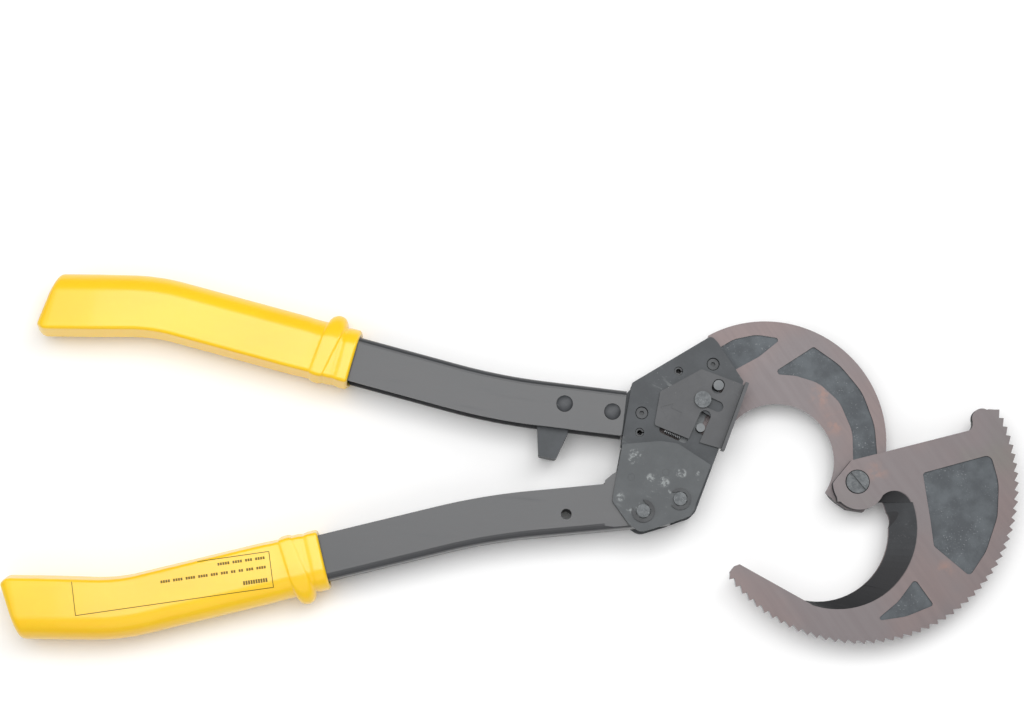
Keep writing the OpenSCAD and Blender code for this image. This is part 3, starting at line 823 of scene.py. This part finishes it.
@dataclass
class NodeTool:
    """A Geometry Nodes tree with named inputs, made in the script and applied to one object."""

    name: str
    tree: bpy.types.NodeTree = field(init=False)

    def __post_init__(self) -> None:
        """Makes the tree with its geometry sockets."""
        self.tree = bpy.data.node_groups.new(self.name, "GeometryNodeTree")
        self.tree.interface.new_socket("Geometry", in_out="INPUT", socket_type="NodeSocketGeometry")
        self.tree.interface.new_socket("Geometry", in_out="OUTPUT", socket_type="NodeSocketGeometry")
        self.entry = self.tree.nodes.new("NodeGroupInput")
        self.exit = self.tree.nodes.new("NodeGroupOutput")

    def size(self, name: str, value: float) -> None:
        """Adds a named size input with its usual value."""
        socket = self.tree.interface.new_socket(name, in_out="INPUT", socket_type="NodeSocketFloat")
        socket.default_value = value

    def node(self, kind: str, inputs: dict[str, object] | None = None, **settings: object) -> bpy.types.Node:
        """Adds a node with its settings and inputs."""
        node = self.tree.nodes.new(kind)
        for key, value in settings.items():
            setattr(node, key, value)
        for key, value in (inputs or {}).items():
            if isinstance(value, bpy.types.NodeSocket):
                self.tree.links.new(value, node.inputs[key])
            else:
                node.inputs[key].default_value = value
        return node

    def close(self, instances: bpy.types.NodeSocket, material: bpy.types.Material) -> None:
        """Ends the tree in Realize Instances and Set Material."""
        real = self.node("GeometryNodeRealizeInstances", {"Geometry": instances})
        final = self.node("GeometryNodeSetMaterial", {"Geometry": real.outputs[0], "Material": material})
        self.tree.links.new(final.outputs[0], self.exit.inputs[0])

    def apply(self, piece: bpy.types.Object, **sizes: float) -> None:
        """Runs the tree on an object and keeps the result as a plain mesh.

        Args:
            piece: the object whose points the tree works on.
            sizes: values of the named inputs.
        """
        modifier = piece.modifiers.new(self.name, "NODES")
        modifier.node_group = self.tree
        for item in self.tree.interface.items_tree:
            if item.item_type == "SOCKET" and item.in_out == "INPUT" and item.name in sizes:
                modifier[item.identifier] = sizes[item.name]
        bpy.context.view_layer.update()
        done = bpy.data.meshes.new_from_object(piece.evaluated_get(bpy.context.evaluated_depsgraph_get()))
        piece.modifiers.remove(modifier)
        piece.data = done


def rivet_tool(material: bpy.types.Material) -> NodeTool:
    """A tree that sets a low domed rivet head on each point.

    Args:
        material: the heads' material.

    Returns:
        The tool.
    """
    tool = NodeTool("rivet_heads")
    tool.size("Radius", 5 * MM)
    tool.size("Height", 1.5 * MM)
    points = tool.node("GeometryNodeMeshToPoints", {"Mesh": tool.entry.outputs["Geometry"]})
    dome = tool.node("GeometryNodeMeshUVSphere", {"Segments": 40, "Rings": 24, "Radius": 1.0})
    radius = tool.entry.outputs["Radius"]
    height = tool.entry.outputs["Height"]
    scale = tool.node("ShaderNodeCombineXYZ", {"X": radius, "Y": radius, "Z": height})
    placed = tool.node("GeometryNodeInstanceOnPoints", {
        "Points": points.outputs[0], "Instance": dome.outputs[0], "Scale": scale.outputs[0],
    })
    tool.close(placed.outputs[0], material)
    return tool


def bar_tool(material: bpy.types.Material) -> NodeTool:
    """A tree that lays a thin flat bar on each point.

    Args:
        material: the bars' material.

    Returns:
        The tool.
    """
    tool = NodeTool("printed_bars")
    tool.size("Length", 2 * MM)
    tool.size("Width", 0.5 * MM)
    tool.size("Turn", 0.0)
    points = tool.node("GeometryNodeMeshToPoints", {"Mesh": tool.entry.outputs["Geometry"]})
    length = tool.entry.outputs["Length"]
    width = tool.entry.outputs["Width"]
    grid = tool.node("GeometryNodeMeshGrid", {
        "Size X": length, "Size Y": width, "Vertices X": 6, "Vertices Y": 3,
    })
    turn = tool.node("ShaderNodeCombineXYZ", {"Z": tool.entry.outputs["Turn"]})
    placed = tool.node("GeometryNodeInstanceOnPoints", {
        "Points": points.outputs[0], "Instance": grid.outputs[0], "Rotation": turn.outputs[0],
    })
    tool.close(placed.outputs[0], material)
    return tool


def point_cloud(name: str, points: list[Point]) -> bpy.types.Object:
    """An object of loose points for a node tree to work on."""
    mesh = bpy.data.meshes.new(name)
    mesh.from_pydata(points, [], [])
    piece = bpy.data.objects.new(name, mesh)
    bpy.context.scene.collection.objects.link(piece)
    return piece


# --------------------------------------------------------------------- assembly


@dataclass
class Studio:
    """Pale floor, soft lights and the camera."""

    aim: Point = (-0.2085, 0.0726, 0.02)
    distance: float = 1.467
    roll: float = 0.45
    lens: float = 85.0
    tilt: float = 8.0

    def camera(self) -> None:
        """Makes the camera, nearly square to the tool's flat side."""
        data = bpy.data.cameras.new("camera")
        data.lens = self.lens
        data.sensor_width = 36.0
        camera = bpy.data.objects.new("camera", data)
        tilt = math.radians(self.tilt)
        turn = Euler((tilt, 0, math.radians(self.roll)))
        camera.location = turn.to_matrix() @ Vector((0, 0, self.distance)) + Vector(self.aim)
        camera.rotation_euler = turn
        bpy.context.scene.collection.objects.link(camera)
        bpy.context.scene.camera = camera

    def floor(self) -> None:
        """Makes the floor just under the tool."""
        half = 3.0
        corners = [(-half, -half, 0), (half, -half, 0), (half, half, 0), (-half, half, 0)]
        lowered = [(x, y, -0.4 * MM) for x, y, _ in corners]
        plane = mesh_object("floor", lowered, [(0, 1, 2, 3)], smooth=False)
        paint(plane, Paper().build())

    def light(self, name: str, place: Point, size: float, power: float) -> None:
        """Makes a soft square light that faces the tool.

        Args:
            name: the light's name.
            place: where it stands, in metres.
            size: width of its square.
            power: its power in watts.
        """
        data = bpy.data.lights.new(name, "AREA")
        data.size = size
        data.energy = power
        lamp = bpy.data.objects.new(name, data)
        lamp.location = place
        way = Vector(self.aim) - Vector(place)
        lamp.rotation_euler = way.to_track_quat("-Z", "Y").to_euler()
        bpy.context.scene.collection.objects.link(lamp)

    def build(self) -> None:
        """Makes the whole studio."""
        self.camera()
        self.floor()
        self.light("overhead", (-0.2, 0.3, 1.5), 1.0, 11.9)
        self.light("key", (0.7, 0.8, 1.5), 1.0, 7.7)
        self.light("fill", (-1.2, 0.2, 1.3), 1.4, 5.6)
        self.light("front", (-0.1, -1.2, 1.3), 1.4, 4.2)
        world = bpy.data.worlds.new("studio")
        world.use_nodes = True
        sky = world.node_tree.nodes["Background"]
        sky.inputs["Color"].default_value = (1, 1, 1, 1)
        sky.inputs["Strength"].default_value = 0.35
        bpy.context.scene.world = world
        bpy.context.scene.view_settings.view_transform = "Standard"


@dataclass
class Frame:
    """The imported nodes, each with its finish and its softened edges."""

    nodes: dict[str, bpy.types.Object]
    plate_edge: float = 0.35 * MM
    blade_edge: float = 0.22 * MM
    cheek_wear: tuple[tuple[Flat, float], ...] = (
        ((-0.1354, 0.0153), 0.004), ((-0.1366, 0.0108), 0.0035), ((-0.1168, -0.0017), 0.005),
        ((-0.1249, 0.0007), 0.004), ((-0.143, -0.011), 0.004), ((-0.106, 0.0035), 0.004),
    )
    fixed_tints: tuple[tuple[Flat, float], ...] = (((-0.0195, 0.0534), 0.012), ((-0.0129, 0.0356), 0.010))
    moving_tints: tuple[tuple[Flat, float], ...] = (((0.012, 0.006), 0.009), ((0.052, -0.052), 0.008))

    def centre(self, node: str) -> Flat:
        """The middle of a node's box, seen from above."""
        low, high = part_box(node)
        return (low[0] + high[0]) / 2, (low[1] + high[1]) / 2

    def dress(self) -> None:
        """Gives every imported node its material."""
        low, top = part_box("moving_blade")
        back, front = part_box("fixed_blade")
        finishes = {
            ("moving_blade",): GroundSteel("moving_blade_steel", top[2], low[2], tints=self.moving_tints),
            ("fixed_blade",): GroundSteel("fixed_blade_steel", front[2], back[2], tints=self.fixed_tints),
            ("front_head_plate", "back_head_plate", "handle_tongue", "nose_spacer"):
                Phosphate("head_phosphate"),
            ("front_cheek_plate", "back_cheek_plate", "cheek_rivets"):
                Phosphate("cheek_phosphate", srgb(84, 87, 89), srgb(72, 75, 77), scuffing=0.5, chips=0.5,
                          worn=self.cheek_wear),
            ("release_slide",):
                Phosphate("slide_phosphate", srgb(84, 85, 87), srgb(72, 73, 75), scuffing=0.3),
            ("upper_channel", "lower_channel"): ChannelPaint(),
            ("pivot_washer", "pivot_nut", "head_screws", "head_dowels", "tongue_spacers",
             "fulcrum_clip", "drive_pin_clip"):
                Phosphate("black_oxide", srgb(64, 66, 68), srgb(38, 39, 41), scuffing=0.4, rough=0.4),
            ("drive_pawl", "holding_pawl"): Phosphate("pawl_steel", srgb(120, 123, 125), srgb(96, 99, 101)),
            ("drive_pawl_spring", "holding_pawl_spring", "release_spring"): SpringWire(),
            ("pivot_bolt",): TurnedSteel("bolt_steel", ((0.0, 0.0),)),
            ("guide_pin", "fulcrum_pin", "drive_pin"): TurnedSteel(
                "pin_steel", tuple(self.centre(n) for n in ("guide_pin", "fulcrum_pin", "drive_pin"))),
        }
        for names, finish in finishes.items():
            material = finish.build()
            for name in names:
                paint(self.nodes[name], material)
                LOG.info("%s: %s", name, material.name)

    def round_edges(self) -> None:
        """Rounds the sharp edges of the steel parts a little."""
        plates = ("front_head_plate", "back_head_plate", "front_cheek_plate", "back_cheek_plate",
                  "release_slide", "handle_tongue")
        for name in plates:
            soften(self.nodes[name], self.plate_edge)
        for name in ("guide_pin", "fulcrum_pin", "drive_pin", "pivot_bolt", "head_screws", "pivot_nut"):
            soften(self.nodes[name], self.blade_edge * 1.6)
        for name in ("moving_blade", "fixed_blade"):
            soften(self.nodes[name], self.blade_edge, 1)


@dataclass
class Label:
    """A printed frame on the lower grip, with plain bars where wording would be."""

    corner: Flat = (-352.4 * MM, -45.2 * MM)
    along: float = 188.6
    length: float = 118.3 * MM
    height: float = 21.5 * MM
    line: float = 0.45 * MM
    lift: float = 0.08 * MM
    top: float = 0.2
    margin: float = 3.0 * MM
    bar: float = 1.1 * MM
    bar_pitch: float = 1.1 * 1.35 * MM
    word_gap: float = 1.6 * MM
    rows: tuple[tuple[float, float, tuple[float, ...]], ...] = (
        (3.3 * MM, 1.6 * MM, (5.6, 5.0, 5.4, 7.6)),
        (8.9 * MM, 1.6 * MM, (6.4, 3.8, 2.4, 2.6, 4.6, 4.0, 6.0, 5.6, 6.6, 6.6)),
        (16.6 * MM, 2.4 * MM, (14.5,)),
    )

    def spot(self, x: float, y: float) -> Flat:
        """A point of the label, x along its length and y across it, as a point of the tool."""
        angle = math.radians(self.along)
        c, s = math.cos(angle), math.sin(angle)
        return self.corner[0] + x * c - y * s, self.corner[1] + x * s + y * c

    def strip(self, start: Flat, end: Flat, width: float) -> tuple[list[Point], list[tuple[int, ...]]]:
        """A strip between two points of the label, cut into short pieces so that it can bend."""
        run = math.dist(start, end)
        count = max(2, round(run / (1.2 * MM)))
        step = ((end[0] - start[0]) / run, (end[1] - start[1]) / run)
        across = (-step[1] * width / 2, step[0] * width / 2)
        points: list[Point] = []
        for i in range(count + 1):
            x = start[0] + step[0] * run * i / count
            y = start[1] + step[1] * run * i / count
            for sign in (-1, 1):
                points.append((*self.spot(x + sign * across[0], y + sign * across[1]), self.top))
        faces = [(2 * i, 2 * i + 2, 2 * i + 3, 2 * i + 1) for i in range(count)]
        return points, faces

    def lay(self, piece: bpy.types.Object, sleeve: bpy.types.Object) -> None:
        """Drops every point straight down on to the sleeve and gives the print its thickness."""
        tree = BVHTree.FromObject(sleeve, bpy.context.evaluated_depsgraph_get())
        work = bmesh.new()
        work.from_mesh(piece.data)
        missed = []
        for vertex in work.verts:
            above = Vector((vertex.co.x, vertex.co.y, self.top))
            hit, normal, _, _ = tree.ray_cast(above, Vector((0, 0, -1)))
            if hit is None or normal.z < 0.5:
                missed.append(vertex)
            else:
                vertex.co.z = hit.z + self.lift / 2
        bmesh.ops.delete(work, geom=missed, context="VERTS")
        for face in work.faces:
            if face.normal.z < 0:
                face.normal_flip()
        thick = bmesh.ops.extrude_face_region(work, geom=work.faces[:])
        for item in thick["geom"]:
            if isinstance(item, bmesh.types.BMVert):
                item.co.z += self.lift / 2
        bmesh.ops.recalc_face_normals(work, faces=work.faces[:])
        work.to_mesh(piece.data)
        work.free()

    def build(self, sleeve: bpy.types.Object, ink: bpy.types.Material) -> None:
        """Makes the frame and the bars, laid on the sleeve.

        Args:
            sleeve: the grip that carries the print.
            ink: the print's material.
        """
        corners = [(0, 0), (self.length, 0), (self.length, self.height), (0, self.height)]
        points: list[Point] = []
        faces: list[tuple[int, ...]] = []
        for i, corner in enumerate(corners):
            new_points, new_faces = self.strip(corner, corners[(i + 1) % 4], self.line)
            faces += [tuple(k + len(points) for k in face) for face in new_faces]
            points += new_points
        frame = mesh_object("label_frame", points, faces, smooth=False)
        self.lay(frame, sleeve)
        self.finish(frame, ink)
        for number, (y, width, words) in enumerate(self.rows):
            spots: list[Point] = []
            x = self.margin
            for word in words:
                count = max(1, round(word * MM / self.bar_pitch))
                for k in range(count):
                    spots.append((*self.spot(x + k * self.bar_pitch + self.bar / 2, y), self.top))
                x += count * self.bar_pitch + self.word_gap
            row = point_cloud(f"label_row_{number + 1}", spots)
            bar_tool(ink).apply(row, Length=self.bar, Width=width, Turn=math.radians(self.along))
            self.lay(row, sleeve)
            self.finish(row, ink)

    def finish(self, piece: bpy.types.Object, ink: bpy.types.Material) -> None:
        """Paints a piece of print and ties it to the lower handle."""
        paint(piece, ink)
        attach(piece, Body.LOWER_HANDLE.value)
        LOG.info("%s: %d faces", piece.name, len(piece.data.polygons))


@dataclass
class TongueRivets:
    """Domed heads of the two rivets that hold the upper channel to its tongue."""

    centres: tuple[Flat, ...] = ((-176.6 * MM, 45.3 * MM), (-147.8 * MM, 40.7 * MM))
    face: float = 11.5 * MM
    radius: float = 5 * MM
    height: float = 1.5 * MM

    def build(self) -> None:
        """Makes the four heads, two on each side of the channel."""
        material = Phosphate("rivet_paint", srgb(66, 68, 71), srgb(50, 52, 55), rough=0.42).build()
        spots = [(x, y, REST_HALF + s * self.face) for x, y in self.centres for s in (-1, 1)]
        heads = point_cloud("rivet_heads", spots)
        rivet_tool(material).apply(heads, Radius=self.radius, Height=self.height)
        for face in heads.data.polygons:
            face.use_smooth = True
        paint(heads, material)
        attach(heads, Body.HEAD.value)
        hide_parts("tongue_rivets")
        LOG.info("rivet_heads: %d faces", len(heads.data.polygons))


def build_grips(vinyl: bpy.types.Material) -> tuple[bpy.types.Object, bpy.types.Object]:
    """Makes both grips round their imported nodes.

    Args:
        vinyl: the grips' material.

    Returns:
        The upper and the lower grip.
    """
    upper = Grip("upper_sleeve", "upper_grip", Body.HEAD, (-304.1 * MM, 71.9 * MM), 165.1, -1)
    lower = Grip("lower_sleeve", "lower_grip", Body.LOWER_HANDLE, (-320.4 * MM, -48.6 * MM), 194.1, 1)
    made = []
    for grip in (upper, lower):
        piece = grip.build()
        grip.dress(piece, vinyl)
        made.append(piece)
    return made[0], made[1]


def main() -> None:
    """Builds the cutter round its frame and reports each piece."""
    logging.basicConfig(level=logging.INFO, format="%(message)s")
    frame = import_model()
    Studio().build()
    parts = Frame(frame["nodes"])
    parts.dress()
    parts.round_edges()
    _, lower = build_grips(DippedVinyl().build())
    Label().build(lower, PrintInk().build())
    TongueRivets().build()


if __name__ == "__main__":
    main()
